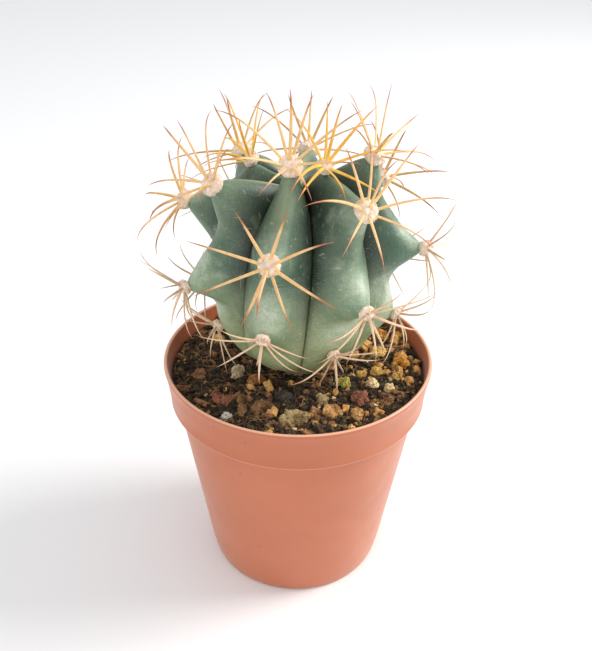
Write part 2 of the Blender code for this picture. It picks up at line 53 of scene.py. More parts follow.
# Pot
BASE_RADIUS = 19.0 * MM
POT_HEIGHT = 50.0 * MM
BAND_FOOT = 41.3 * MM
SHOULDER_RADIUS = 25.2 * MM
POT_WALL = 1.0 * MM
FLOOR = 1.4 * MM
POT_SIDES = 144
DRAIN_HOLES = 5
DRAIN_RADIUS = 2.5 * MM
DRAIN_CIRCLE = 11.0 * MM

# Potting mix
SOIL_TOP = 46.6 * MM
SOIL_RADIUS = 25.95 * MM
SOIL_SIDES = 168
SOIL_INSETS = 54
COARSE_LUMPS = 0.55 * MM
FINE_LUMPS = 0.42 * MM
MOUND_HEIGHT = 2.3 * MM
MOUND_REACH = 7.5 * MM
FIBRES = 420
FIBRE_STEPS = 7

# Stem, the same growth as the solid one with finer steps
GAP = 0.3 * MM
STEM_RADIUS = 16.6 * MM
FOOT_RISE = 2.2 * MM
LOWER_HEIGHT = 17.9 * MM
UPPER_HEIGHT = 21.5 * MM
LOWER_SQUARENESS = 2.35
UPPER_SQUARENESS = 2.7
CREASE_SHARE = 0.15
CREASE_POWER = 3.0
BROAD_CREASE = 0.60
NARROW_CREASE = 0.24
NARROW_CREASE_POWER = 22
CREASE_FADE = 80.0
CROWN_DIP = 2.5 * MM
CROWN_DIP_RADIUS = 5.5 * MM
ROOT_RADIUS = 4.0 * MM
ROOT_LENGTH = 14.0 * MM
RIB_AZIMUTHS = (-13, 33, 80, 132, 174, 215, 258, 295)
RIB_TWIST = 0.27
SOLID_RINGS = 34
COLUMNS_PER_RIB = 30
STEM_RINGS = 170
ENVELOPE_HALF_HEIGHT = 22.2 * MM
ENVELOPE_CENTRE = 28.4 * MM
TUBERCLE_REACH = 7.8 * MM
TUBERCLE_WIDTH = 7.5 * MM
TUBERCLE_LENGTH = 8.2 * MM
CROWN_LENGTHENING = 0.4
TUBERCLE_ROUNDING = 0.18
TUBERCLE_POWER = 1.4
LOWEST_FACING = -35.0
CROWN_FACING = 70.0
FACING_START = 18.4 * MM
FACING_POWER = 1.35
YOUNG_START = 38.0 * MM
TIP_INSET = 1.3 * MM
RIB_AREOLES = (
    (18.5, 34.5, 48.0),
    (11.0, 24.0, 41.8),
    (15.5, 29.5, 46.8),
    (19.5, 36.0),
    (12.0, 25.5, 40.0),
    (16.0, 30.0, 41.0),
    (16.5, 35.0),
    (12.5, 22.5, 43.5),
)
CROWN_AREOLES = ((1, 44.5, 6.0), (6, 44.0, 9.0))
SKIN_WAVER = 0.006
LEVEL_SPAN = 45.0 * MM  # over which the skin's level goes from 0 to 1
BLOOM_TOP = 35.5 * MM  # the pale patches lie over the areoles below this
BLOOM_REACH = 5.0 * MM
BLOOM_LIFT = 4.2 * MM

# Areoles
SPINES = 9  # in each areole
TIP_CORNERS = (4, 8)  # around the tip of a solid radial spine, and of a central one
SPINE_CIRCLE = 0.93  # radius the radial spines stand at, as a share of the pad's
SPINE_STEPS = 12
AREOLE_SPAN = 50.0 * MM  # over which an areole's level goes from 0 to 1
YOUNG_LEVEL = 0.66
CROWN_LEVEL = 0.78
LARGE_PAD = 2.2 * MM
YOUNG_SWAY = ((-0.07, 0.07), (-0.07, 0.07), (0.0, 0.16))  # along X, Y and Z, as shares of a spine's length
OLD_SWAY = ((-0.06, 0.06), (-0.06, 0.06), (-0.06, 0.06))
HAIRS = 190  # on each pad

# Camera
PITCH = 31.27  # degrees down
ROLL = 0.74
LENS = 44.24
ASIDE = 0.48 * MM
RAISED = 5.41 * MM
DISTANCE = 165.3 * MM

# Sizes that follow from those above
STEM_FOOT = SOIL_TOP + GAP
STEM_MIDDLE = STEM_FOOT + FOOT_RISE + LOWER_HEIGHT
ENVELOPE_RADIUS = STEM_RADIUS + TUBERCLE_REACH
ROOT_LATITUDE = -math.acos((ROOT_RADIUS / STEM_RADIUS) ** (LOWER_SQUARENESS / 2))
ROOT_TOP = STEM_MIDDLE - LOWER_HEIGHT * math.sin(-ROOT_LATITUDE) ** (2 / LOWER_SQUARENESS)


# Modelling helpers


def deselect_all():
    if bpy.context.object and bpy.context.object.mode != "OBJECT":
        bpy.ops.object.mode_set(mode="OBJECT")
    bpy.ops.object.select_all(action="DESELECT")


def make_active(piece):
    deselect_all()
    piece.select_set(True)
    bpy.context.view_layer.objects.active = piece


def apply_all(piece):
    make_active(piece)
    for modifier in list(piece.modifiers):
        bpy.ops.object.modifier_apply(modifier=modifier.name)


def settle(piece, name, material, angle=50):
    """Puts a finished piece's place in its mesh and gives it its name and finish."""
    make_active(piece)
    bpy.ops.object.transform_apply(location=True, rotation=True, scale=True)
    bpy.ops.object.shade_smooth_by_angle(angle=math.radians(angle))
    piece.name = name
    piece.data.name = name
    piece.data.materials.clear()
    piece.data.materials.append(material)


def lathe_by_hand(rings, sides):
    """A round solid drawn up ring by ring from its underside: (radius, height) points."""
    deselect_all()
    radius, height = rings[0]
    bpy.ops.mesh.primitive_circle_add(
        vertices=sides, radius=radius, fill_type="NGON", enter_editmode=True, location=(0.0, 0.0, height)
    )
    piece = bpy.context.object
    for next_radius, next_height in rings[1:]:
        bpy.ops.mesh.extrude_region_move(TRANSFORM_OT_translate={"value": (0.0, 0.0, next_height - height)})
        share = next_radius / radius
        bpy.ops.transform.resize(value=(share, share, 1.0))
        radius, height = next_radius, next_height
    bpy.ops.mesh.select_all(action="SELECT")
    bpy.ops.mesh.normals_make_consistent(inside=False)
    bpy.ops.object.mode_set(mode="OBJECT")
    return piece


def mesh_piece(name, points, faces, material, along=None, angle=50):
    """A piece from corner and face arrays; along is a value for each corner that its finish can read."""
    data = bpy.data.meshes.new(name)
    data.from_pydata(points.tolist(), [], faces)
    data.materials.append(material)
    if along is not None:
        data.attributes.new("along", "FLOAT", "POINT")
        data.attributes["along"].data.foreach_set("value", np.asarray(along, np.float32))
    piece = bpy.data.objects.new(name, data)
    bpy.context.scene.collection.objects.link(piece)
    make_active(piece)
    bpy.ops.object.shade_smooth_by_angle(angle=math.radians(angle))
    return piece


def shape_of(piece):
    """The corner array and faces of a pattern piece, which is then taken away."""
    points = np.array([list(corner.co) for corner in piece.data.vertices])
    faces = [tuple(face.vertices) for face in piece.data.polygons]
    bpy.data.objects.remove(piece)
    return points, faces


class Heap:
    """Many small copies gathered into one piece."""

    def __init__(self):
        self.points = []
        self.faces = []
        self.along = []
        self.count = 0

    def add(self, points, faces, along=None):
        self.points.append(points)
        self.faces += [tuple(corner + self.count for corner in face) for face in faces]
        self.along.append(np.zeros(len(points)) if along is None else along)
        self.count += len(points)

    def piece(self, name, material, angle=50):
        along = np.concatenate(self.along)
        return mesh_piece(name, np.concatenate(self.points), self.faces, material, along, angle)


def rooted(piece, slot, *nodes):
    """The piece rides the plant's one body and stands for these solid nodes."""
    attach(piece, "root")
    if nodes:
        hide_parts(*nodes)


# Finishes


def add_node(tree, kind, **values):
    made = tree.nodes.new(kind)
    for name, value in values.items():
        setattr(made, name, value)
    return made


def new_finish(name):
    """A new material, its node tree and its shader."""
    material = bpy.data.materials.new(name)
    material.use_nodes = True
    tree = material.node_tree
    return material, tree, tree.nodes["Principled BSDF"]


def ramp(tree, source, stops):
    """A colour ramp over a value, from (place, colour) stops."""
    made = add_node(tree, "ShaderNodeValToRGB")
    elements = made.color_ramp.elements
    while len(elements) < len(stops):
        elements.new(0.5)
    for element, (place, colour) in zip(elements, stops):
        element.position = place
        element.color = (*colour, 1.0)
    tree.links.new(source, made.inputs["Fac"])
    return made.outputs["Color"]


def mix_colour(tree, share, first, second, blend="MIX"):
    """Mixes two colours, each a socket or a plain colour, by a share that is a socket or a number."""
    made = add_node(tree, "ShaderNodeMix", data_type="RGBA", blend_type=blend)
    for index, value in ((0, share), (6, first), (7, second)):
        if isinstance(value, bpy.types.NodeSocket):
            tree.links.new(value, made.inputs[index])
        elif index == 0:
            made.inputs[index].default_value = value
        else:
            made.inputs[index].default_value = (*value, 1.0)
    return made.outputs[2]


def noise_value(tree, scale, detail=5.0, roughness=0.55, stretch=(1.0, 1.0, 1.0)):
    """Noise over the piece's own place, from 0 to 1."""
    place = add_node(tree, "ShaderNodeTexCoord")
    mapping = add_node(tree, "ShaderNodeMapping")
    mapping.inputs["Scale"].default_value = stretch
    cloud = add_node(tree, "ShaderNodeTexNoise")
    cloud.inputs["Scale"].default_value = scale
    cloud.inputs["Detail"].default_value = detail
    cloud.inputs["Roughness"].default_value = roughness
    tree.links.new(place.outputs["Object"], mapping.inputs["Vector"])
    tree.links.new(mapping.outputs["Vector"], cloud.inputs["Vector"])
    return cloud.outputs["Fac"]


def between(tree, source, low, high, bottom=0.0, top=1.0):
    """Spreads a value's range from low to high over bottom to top, held at its ends."""
    made = add_node(tree, "ShaderNodeMapRange", clamp=True)
    for name, value in (("From Min", low), ("From Max", high), ("To Min", bottom), ("To Max", top)):
        made.inputs[name].default_value = value
    tree.links.new(source, made.inputs["Value"])
    return made.outputs["Result"]


def cells(tree, scale):
    """Distance within small cells over the piece's own place."""
    place = add_node(tree, "ShaderNodeTexCoord")
    made = add_node(tree, "ShaderNodeTexVoronoi", feature="F1")
    made.inputs["Scale"].default_value = scale
    tree.links.new(place.outputs["Object"], made.inputs["Vector"])
    return made.outputs["Distance"]


def attribute(tree, name):
    return add_node(tree, "ShaderNodeAttribute", attribute_name=name).outputs["Fac"]


def bumped(tree, shader, height, strength, distance):
    made = add_node(tree, "ShaderNodeBump")
    made.inputs["Strength"].default_value = strength
    made.inputs["Distance"].default_value = distance
    tree.links.new(height, made.inputs["Height"])
    tree.links.new(made.outputs["Normal"], shader.inputs["Normal"])


def weathered_group():
    """A colour that drifts from one to another, darker in its pits, and the height of its grain."""
    group = bpy.data.node_groups.new("weathered", "ShaderNodeTree")
    for name, way, kind in (
        ("Light", "INPUT", "NodeSocketColor"),
        ("Dark", "INPUT", "NodeSocketColor"),
        ("Scale", "INPUT", "NodeSocketFloat"),
        ("Colour", "OUTPUT", "NodeSocketColor"),
        ("Height", "OUTPUT", "NodeSocketFloat"),
    ):
        group.interface.new_socket(name=name, in_out=way, socket_type=kind)
    inside = add_node(group, "NodeGroupInput")
    outside = add_node(group, "NodeGroupOutput")
    place = add_node(group, "ShaderNodeTexCoord")
    drift = add_node(group, "ShaderNodeTexNoise")
    drift.inputs["Detail"].default_value = 6.0
    drift.inputs["Roughness"].default_value = 0.65
    group.links.new(place.outputs["Object"], drift.inputs["Vector"])
    group.links.new(inside.outputs["Scale"], drift.inputs["Scale"])
    share = between(group, drift.outputs["Fac"], 0.38, 0.62)
    mixed = mix_colour(group, share, inside.outputs["Dark"], inside.outputs["Light"])
    pits = between(group, cells(group, 2600.0), 0.12, 0.4, 0.55, 1.0)
    pitted = mix_colour(group, 1.0, mixed, pits, blend="MULTIPLY")
    group.links.new(pitted, outside.inputs["Colour"])
    group.links.new(drift.outputs["Fac"], outside.inputs["Height"])
    return group


def weathered(name, light, dark, scale=500.0, roughness=0.85, bump=0.5):
    """A matt finish for stone, bark and peat."""
    material, tree, shader = new_finish(name)
    shader.inputs["Roughness"].default_value = roughness
    shader.inputs["Specular IOR Level"].default_value = 0.3
    group = add_node(tree, "ShaderNodeGroup", node_tree=WEATHERED)
    group.inputs["Light"].default_value = (*light, 1.0)
    group.inputs["Dark"].default_value = (*dark, 1.0)
    group.inputs["Scale"].default_value = scale
    tree.links.new(group.outputs["Colour"], shader.inputs["Base Color"])
    bumped(tree, shader, group.outputs["Height"], bump, 0.6 * MM)
    return material


def edge_highlights(tree):
    """A mask of the pot's lip and of the lower edge of its band, by height, for a painted highlight."""
    place = add_node(tree, "ShaderNodeTexCoord")
    split = add_node(tree, "ShaderNodeSeparateXYZ")
    tree.links.new(place.outputs["Object"], split.inputs["Vector"])
    lip = between(tree, split.outputs["Z"], 49.72 * MM, 49.92 * MM, 0.0, 0.8)
    under = between(tree, split.outputs["Z"], 41.10 * MM, 41.22 * MM, 0.0, 0.5)
    over = between(tree, split.outputs["Z"], 41.32 * MM, 41.50 * MM, 1.0, 0.0)
    return mix_colour(tree, 1.0, lip, mix_colour(tree, 1.0, under, over, blend="MULTIPLY"), blend="ADD")


def pot_finish():
    """Thin moulded plastic, terracotta in colour, with a painted highlight along its lip and the lower edge
    of its band, and a few dark specks.
    """
    material, tree, shader = new_finish("pot_plastic")
    shader.inputs["Sheen Weight"].default_value = 0.30
    shader.inputs["Sheen Roughness"].default_value = 0.4
    shader.inputs["Sheen Tint"].default_value = (1.0, 0.86, 0.78, 1.0)
    clouds = between(tree, noise_value(tree, 60.0, 3.0), 0.35, 0.65)
    body = mix_colour(tree, clouds, (0.495, 0.140, 0.058), (0.535, 0.155, 0.066))
    # painted highlight: a pale line along the lip and the lower edge of the band
    edges = mix_colour(tree, edge_highlights(tree), body, (0.86, 0.48, 0.32))
    specks = between(tree, cells(tree, 210.0), 0.030, 0.042)
    tree.links.new(mix_colour(tree, specks, (0.22, 0.07, 0.04), edges), shader.inputs["Base Color"])
    shine = between(tree, noise_value(tree, 220.0, 4.0), 0.3, 0.7, 0.38, 0.5)
    tree.links.new(shine, shader.inputs["Roughness"])
    bumped(tree, shader, noise_value(tree, 1500.0, 3.0), 0.06, 0.2 * MM)
    return material


def stem_finish():
    """Waxy blue-green skin, darker in the hollows and paler on the ridges: painted shade in the hollows and
    painted light on the ridges.

    It turns yellower below and corky at its neck, with a pale bloom, dust and fine scratches over it.
    """
    material, tree, shader = new_finish("stem_skin")
    shader.inputs["Specular IOR Level"].default_value = 0.45
    drift = between(tree, noise_value(tree, 110.0, 4.0), 0.36, 0.64)
    # painted shade and light: the dark colour goes in the hollows, the pale one on the ridges, by the ridge
    # value
    hollow_shade = mix_colour(tree, drift, (0.028, 0.044, 0.030), (0.060, 0.092, 0.060))
    pale = mix_colour(tree, drift, (0.115, 0.222, 0.138), (0.262, 0.380, 0.240))
    ridge = between(tree, attribute(tree, "ridge"), 0.15, 0.95)
    skin = mix_colour(tree, ridge, hollow_shade, pale)
    low = between(tree, attribute(tree, "level"), 0.62, 0.20, 0.0, 0.88)
    yellow = mix_colour(tree, drift, (0.255, 0.330, 0.145), (0.450, 0.500, 0.270))
    yellower = mix_colour(tree, low, skin, yellow)
    scattered = between(tree, noise_value(tree, 85.0, 4.0, 0.6), 0.56, 0.70, 0.0, 0.5)
    rubbed = between(tree, noise_value(tree, 400.0, 4.0, 0.6), 0.36, 0.58, 0.45, 1.1)
    over_tips = mix_colour(tree, 1.0, rubbed, attribute(tree, "bloom"), blend="MULTIPLY")
    bloom_place = mix_colour(tree, 1.0, scattered, over_tips, blend="ADD")
    bloomed = mix_colour(tree, bloom_place, yellower, (0.56, 0.62, 0.47))
    patchy = between(tree, noise_value(tree, 150.0, 3.0), 0.42, 0.60)
    dust = between(tree, cells(tree, 2100.0), 0.08, 0.26, 0.28, 0.0)
    dust_share = mix_colour(tree, 1.0, dust, patchy, blend="MULTIPLY")
    dusted = mix_colour(tree, dust_share, bloomed, (0.66, 0.70, 0.58))
    upright = between(tree, noise_value(tree, 1500.0, 1.0, 0.4, (1.0, 1.0, 0.07)), 0.70, 0.76, 0.0, 0.24)
    level = between(tree, noise_value(tree, 1400.0, 1.0, 0.4, (0.08, 1.0, 1.0)), 0.71, 0.77, 0.0, 0.32)
    scratches = mix_colour(tree, 1.0, upright, level, blend="ADD")
    marked = mix_colour(tree, scratches, dusted, (0.66, 0.70, 0.56))
    grain = between(tree, noise_value(tree, 2300.0, 3.0), 0.3, 0.7, 0.84, 1.12)
    grained = mix_colour(tree, 1.0, marked, grain, blend="MULTIPLY")
    crown = between(tree, attribute(tree, "level"), 0.62, 1.0, 1.0, 0.66)
    darker_crown = mix_colour(tree, 1.0, grained, crown, blend="MULTIPLY")
    # painted highlight: pale yellow-green along the rib tops between the areoles
    saddle = between(tree, attribute(tree, "saddle"), 0.08, 0.7, 0.0, 0.75)
    lit = mix_colour(tree, saddle, darker_crown, (0.40, 0.45, 0.25))
    # painted shade: a thin dark line along each crease between the ribs
    crease = between(tree, attribute(tree, "ridge"), 0.0, 0.05, 0.34, 1.0)
    shaded = mix_colour(tree, 1.0, lit, crease, blend="MULTIPLY")
    neck = between(tree, attribute(tree, "level"), 0.075, 0.035, 0.0, 0.9)
    cork = mix_colour(tree, drift, (0.110, 0.075, 0.042), (0.300, 0.215, 0.125))
    tree.links.new(mix_colour(tree, neck, shaded, cork), shader.inputs["Base Color"])
    shine = between(tree, noise_value(tree, 300.0, 4.0), 0.3, 0.7, 0.36, 0.52)
    tree.links.new(shine, shader.inputs["Roughness"])
    bumped(tree, shader, noise_value(tree, 700.0, 6.0, 0.6), 0.18, 0.4 * MM)
    return material


def spine_finish(name, root, body, end, turns_at):
    """Horn, from its root colour to a darker end, with faint rings."""
    material, tree, shader = new_finish(name)
    shader.inputs["Roughness"].default_value = 0.38
    shader.inputs["Specular IOR Level"].default_value = 0.5
    stops = ((0.0, root), (0.2, body), (turns_at, body), (turns_at + 0.2, end), (1.0, end))
    colour = ramp(tree, attribute(tree, "along"), stops)
    rings = between(tree, noise_value(tree, 1400.0, 3.0), 0.35, 0.65, 0.82, 1.0)
    tree.links.new(mix_colour(tree, 1.0, colour, rings, blend="MULTIPLY"), shader.inputs["Base Color"])
    return material


def wool_finish():
    """Cream felt, pinker between its hairs."""
    material, tree, shader = new_finish("wool")
    shader.inputs["Roughness"].default_value = 0.95
    shader.inputs["Specular IOR Level"].default_value = 0.1
    shader.inputs["Sheen Weight"].default_value = 0.3
    tuft = between(tree, noise_value(tree, 900.0, 4.0), 0.35, 0.65)
    felt = mix_colour(tree, tuft, (0.80, 0.55, 0.40), (0.97, 0.85, 0.70))
    stain = between(tree, attribute(tree, "along"), 0.0, 1.0, 0.0, 0.9)
    tree.links.new(mix_colour(tree, stain, felt, (0.55, 0.23, 0.08)), shader.inputs["Base Color"])
    bumped(tree, shader, noise_value(tree, 2500.0, 3.0), 0.6, 0.4 * MM)
    return material


WEATHERED = weathered_group()
POT_PLASTIC = pot_finish()
STEM_SKIN = stem_finish()
WOOL = wool_finish()
OLD_SPINE = spine_finish("spine_cream", (0.72, 0.44, 0.27), (0.88, 0.62, 0.40), (0.60, 0.26, 0.11), 0.7)
YOUNG_SPINE = spine_finish("spine_amber", (0.95, 0.66, 0.26), (0.92, 0.56, 0.25), (0.50, 0.16, 0.06), 0.5)
CROWN_SPINE = spine_finish("spine_golden", (0.98, 0.70, 0.14), (0.95, 0.50, 0.07), (0.60, 0.18, 0.04), 0.6)
PEAT = weathered("peat", (0.085, 0.055, 0.032), (0.014, 0.010, 0.007), 420.0, 0.95)
CRUMB_DARK = weathered("crumb_dark", (0.090, 0.058, 0.034), (0.012, 0.009, 0.006), 700.0, 0.95)
CRUMB_OLIVE = weathered("crumb_olive", (0.22, 0.165, 0.070), (0.050, 0.038, 0.018), 700.0, 0.95)
CRUMB_BARK = weathered("crumb_bark", (0.42, 0.21, 0.090), (0.120, 0.055, 0.026), 600.0, 0.9)
CRUMB_AMBER = weathered("crumb_amber", (0.82, 0.47, 0.150), (0.42, 0.190, 0.050), 500.0, 0.85)
CRUMB_PALE = weathered("crumb_pale", (0.82, 0.68, 0.43), (0.50, 0.34, 0.17), 500.0, 0.85)
FIBRE = weathered("fibre", (0.45, 0.25, 0.120), (0.130, 0.066, 0.033), 500.0, 0.9)
LOOSE = {
    "pale_stone": weathered("pale_stone", (0.82, 0.71, 0.48), (0.46, 0.33, 0.19), 380.0),
    "orange_bark": weathered("orange_bark", (0.68, 0.33, 0.11), (0.26, 0.10, 0.04), 420.0),
    "brown_bark": weathered("brown_bark", (0.40, 0.21, 0.095), (0.100, 0.048, 0.026), 460.0, 0.9, 0.9),
    "red_bark": weathered("red_bark", (0.48, 0.19, 0.110), (0.14, 0.055, 0.035), 460.0, 0.9, 0.9),
    "dark_bark": weathered("dark_bark", (0.13, 0.105, 0.088), (0.035, 0.028, 0.024), 460.0, 0.9, 0.9),
    "khaki_stone": weathered("khaki_stone", (0.62, 0.46, 0.220), (0.22, 0.145, 0.065), 330.0),
    "amber_stone": weathered("amber_stone", (0.76, 0.44, 0.170), (0.34, 0.160, 0.060), 360.0),
    "orange_stone": weathered("orange_stone", (0.90, 0.48, 0.090), (0.46, 0.185, 0.035), 340.0),
    "pale_pumice": weathered("pale_pumice", (0.92, 0.74, 0.42), (0.60, 0.38, 0.15), 420.0, 0.9, 0.8),
    "gold_pumice": weathered("gold_pumice", (0.84, 0.55, 0.17), (0.46, 0.25, 0.065), 420.0, 0.9, 0.8),
    "green_pumice": weathered("green_pumice", (0.64, 0.55, 0.14), (0.34, 0.27, 0.06), 420.0, 0.9, 0.8),
    "perlite": weathered("perlite", (0.90, 0.88, 0.80), (0.60, 0.57, 0.49), 500.0, 0.9, 0.8),
}


# Pot


def outer_radius(height):
    return BASE_RADIUS + (SHOULDER_RADIUS - BASE_RADIUS) * height / BAND_FOOT


def make_pot():
    """The pot, its rim band standing proud with a fine edge, and its drain holes."""
    outside = [(17.7, 0.0), (18.35, 0.08), (18.8, 0.42), (19.02, 1.2)]
    outside += [(outer_radius(height * MM) / MM, height) for height in range(4, 41, 3)]
    outside += [(25.18, 40.7), (25.3, 40.95), (25.75, 41.05), (26.3, 41.12), (26.5, 41.3), (26.52, 41.55)]
    outside += [(26.44, 41.9), (26.75, 44.6), (27.05, 47.2), (27.3, 48.9), (27.46, 49.25), (27.5, 49.6)]
    lip = [(27.42, 49.86), (27.2, 50.0), (26.95, 49.96), (26.76, 49.78), (26.7, 49.45)]
    inside = [(26.62, 48.6), (26.2, 46.0), (25.75, 43.2), (25.4, 41.3), (24.9, 40.9)]
    for height in (40.0, 30.0, 20.0, 10.0, 2.2):
        inside.append(((outer_radius(height * MM) - POT_WALL) / MM, height))
    inside += [(17.6, 1.5), (16.6, 1.4), (0.6, 1.4)]
    rings = [(radius * MM, height * MM) for radius, height in outside + lip + inside]
    pot = lathe_by_hand(rings, POT_SIDES)
    deselect_all()
    for index in range(DRAIN_HOLES):
        turn = 2 * math.pi * (index + 0.5) / DRAIN_HOLES
        place = (DRAIN_CIRCLE * math.sin(turn), -DRAIN_CIRCLE * math.cos(turn), 0.0)
        bpy.ops.mesh.primitive_cylinder_add(vertices=32, radius=DRAIN_RADIUS, depth=4 * FLOOR, location=place)
        punch = bpy.context.object
        cut = pot.modifiers.new("hole", "BOOLEAN")
        cut.operation = "DIFFERENCE"
        cut.solver = "EXACT"
        cut.object = punch
        make_active(pot)
        bpy.ops.object.modifier_apply(modifier="hole")
        bpy.data.objects.remove(punch)
    settle(pot, "pot_moulded", POT_PLASTIC)
    rooted(pot, "pot_plastic", "pot")


# Potting mix


def make_soil():
    """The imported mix, with a lumpy top that rises a little at the stem."""
    heights = (1.75, 10.0, 20.0, 30.0, 39.8)
    rings = [(outer_radius(height * MM) - POT_WALL - GAP, height * MM) for height in heights]
    rings += [(25.0 * MM, 41.6 * MM), (SOIL_RADIUS, SOIL_TOP)]
    soil = lathe_by_hand(rings, SOIL_SIDES)
    make_active(soil)
    bpy.ops.object.mode_set(mode="EDIT")
    bpy.ops.mesh.select_mode(type="FACE")
    bpy.ops.mesh.select_all(action="DESELECT")
    bpy.ops.object.mode_set(mode="OBJECT")
    for face in soil.data.polygons:
        face.select = face.center.z > SOIL_TOP - 0.1 * MM
    bpy.ops.object.mode_set(mode="EDIT")
    for _ in range(SOIL_INSETS):
        bpy.ops.mesh.inset(thickness=SOIL_RADIUS / (SOIL_INSETS + 2))
    bpy.ops.object.mode_set(mode="OBJECT")
    for corner in soil.data.vertices:
        reach = math.hypot(corner.co.x, corner.co.y)
        if corner.co.z > SOIL_TOP - 0.1 * MM and reach < SOIL_RADIUS - 0.05 * MM:
            coarse = noise.fractal(corner.co / (4.5 * MM), 0.8, 2.1, 3)
            fine = noise.fractal(corner.co / (1.3 * MM) + Vector((7.0, 3.0, 1.0)), 0.7, 2.2, 4)
            mound = MOUND_HEIGHT * math.exp(-((reach / MOUND_REACH) ** 2))
            corner.co.z += COARSE_LUMPS * coarse + FINE_LUMPS * fine + mound
    settle(soil, "potting_mix_packed", PEAT)
    rooted(soil, "peat", "potting_mix")
    return soil


def pattern(kind, bevel):
    """A rough chunk about 1 across: a primitive with its corners knocked about."""
    draw = random.Random(f"{kind} {bevel}")
    deselect_all()
    if kind == "block":
        bpy.ops.mesh.primitive_cube_add(size=1.0, location=(0.0, 0.0, 0.0))
        bpy.ops.object.mode_set(mode="EDIT")
        bpy.ops.mesh.bevel(offset=bevel, segments=1)
        bpy.ops.object.mode_set(mode="OBJECT")
    else:
        bpy.ops.mesh.primitive_ico_sphere_add(subdivisions=2, radius=0.5, location=(0.0, 0.0, 0.0))
    chunk = bpy.context.object
    for corner in chunk.data.vertices:
        corner.co *= draw.uniform(0.66, 1.16)
    return shape_of(chunk)


def random_turn(draw, tilt):
    """A turn about any direction in the level plane, tipped up to the tilt in radians."""
    spin = Matrix.Rotation(draw.uniform(0, 2 * math.pi), 3, "Z")
    lean = Matrix.Rotation(draw.uniform(-tilt, tilt), 3, "X")
    list_over = Matrix.Rotation(draw.uniform(-tilt, tilt), 3, "Y")
    return np.array(spin @ lean @ list_over @ Matrix.Rotation(draw.uniform(0, 2 * math.pi), 3, "Z"))


def solid_tree():
    """A search tree of the solids that stand in the mix, so that crumbs keep off them."""
    points, faces, count = [], [], 0
    for name, node in frame["nodes"].items():
        if name in ("pot", "potting_mix") or name.startswith("spines"):
            continue
        points += [corner.co.copy() for corner in node.data.vertices]
        faces += [tuple(corner + count for corner in face.vertices) for face in node.data.polygons]
        count += len(node.data.vertices)
    return BVHTree.FromPolygons(points, faces)


# name, finish, slot, how many, size from and to in mm, length, flatness, share kept on the left side
CRUMBS = (
    ("crumbs_dark", CRUMB_DARK, "peat", 1900, (0.5, 1.6), 1.3, 0.8, 1.0),
    ("crumbs_olive", CRUMB_OLIVE, "peat", 520, (0.4, 1.3), 1.3, 0.8, 0.9),
    ("crumbs_bark", CRUMB_BARK, "brown_bark", 430, (0.6, 1.9), 2.3, 0.5, 1.0),
    ("crumbs_shreds", CRUMB_DARK, "peat", 420, (0.7, 2.0), 2.6, 0.45, 1.0),
    ("crumbs_amber", CRUMB_AMBER, "amber_stone", 430, (0.6, 2.5), 1.4, 0.85, 0.16),
    ("crumbs_pale", CRUMB_PALE, "pale_stone", 60, (0.4, 1.1), 1.3, 0.8, 0.6),
)


def surface_of(piece):
    return BVHTree.FromObject(piece, bpy.context.evaluated_depsgraph_get())


def ground_below(ground, across, back):
    """The place on the mix under a spot."""
    return ground.ray_cast(Vector((across, back, SOIL_TOP + 6 * MM)), Vector((0.0, 0.0, -1.0)))[0]


def make_crumbs(ground, solids):
    """Loose crumbs and grit pressed into the top of the mix, the amber ones mostly on the right."""
    shapes = [pattern("block", 0.08), pattern("block", 0.16), pattern("block", 0.24), pattern("ball", 0.0)]
    for name, finish, slot, count, (small, large), longest, flatness, left_share in CRUMBS:
        draw = random.Random(name)
        heap = Heap()
        for _ in range(count):
            size = (small + (large - small) * draw.random() ** 2.2) * MM
            reach = (SOIL_RADIUS - 0.55 * size) * math.sqrt(draw.uniform(0.02, 1.0))
            turn = draw.uniform(0, 2 * math.pi)
            across, back = reach * math.sin(turn), -reach * math.cos(turn)
            rightness = min(max(across / SOIL_RADIUS + 0.45, 0.0), 1.0)
            if draw.random() > left_share + (1 - left_share) * rightness:
                continue
            middle = ground_below(ground, across, back) + Vector((0.0, 0.0, 0.12 * size))
            if solids.find_nearest(middle, 0.35 * size)[0]:
                continue
            points, faces = shapes[draw.randrange(len(shapes))]
            stretch = (size * draw.uniform(0.75, longest), size * draw.uniform(0.6, 1.0), size * flatness)
            turned = (points * np.array(stretch)) @ random_turn(draw, 0.6).T
            heap.add(turned + np.array(middle), faces)
        rooted(heap.piece(name, finish, 22), slot)


def unit_strand(sides, steps):
    """A strand of radius 1 along Z from 0 to 1, drawn up step by step."""
    rings = [(1.0, step / steps) for step in range(steps + 1)]
    return shape_of(lathe_by_hand(rings, sides))


def strand_points(unit, path, radii, flat=1.0, facing=None):
    """The unit strand laid along a path, with a radius for each point of the path."""
    path = np.array(path)
    steps = np.linspace(0.0, 1.0, len(path))
    place = np.stack([np.interp(unit[:, 2], steps, path[:, axis]) for axis in range(3)], axis=1)
    slopes = np.gradient(path, axis=0)
    slopes /= np.linalg.norm(slopes, axis=1)[:, None]
    slope = np.stack([np.interp(unit[:, 2], steps, slopes[:, axis]) for axis in range(3)], axis=1)
    guide = np.array(facing if facing is not None else (0.37, 0.21, 0.9))
    side = np.cross(slope, guide)
    side /= np.linalg.norm(side, axis=1)[:, None]
    rise = np.cross(side, slope)
    width = np.interp(unit[:, 2], steps, radii)[:, None]
    return place + side * unit[:, :1] * width + rise * unit[:, 1:2] * width * flat


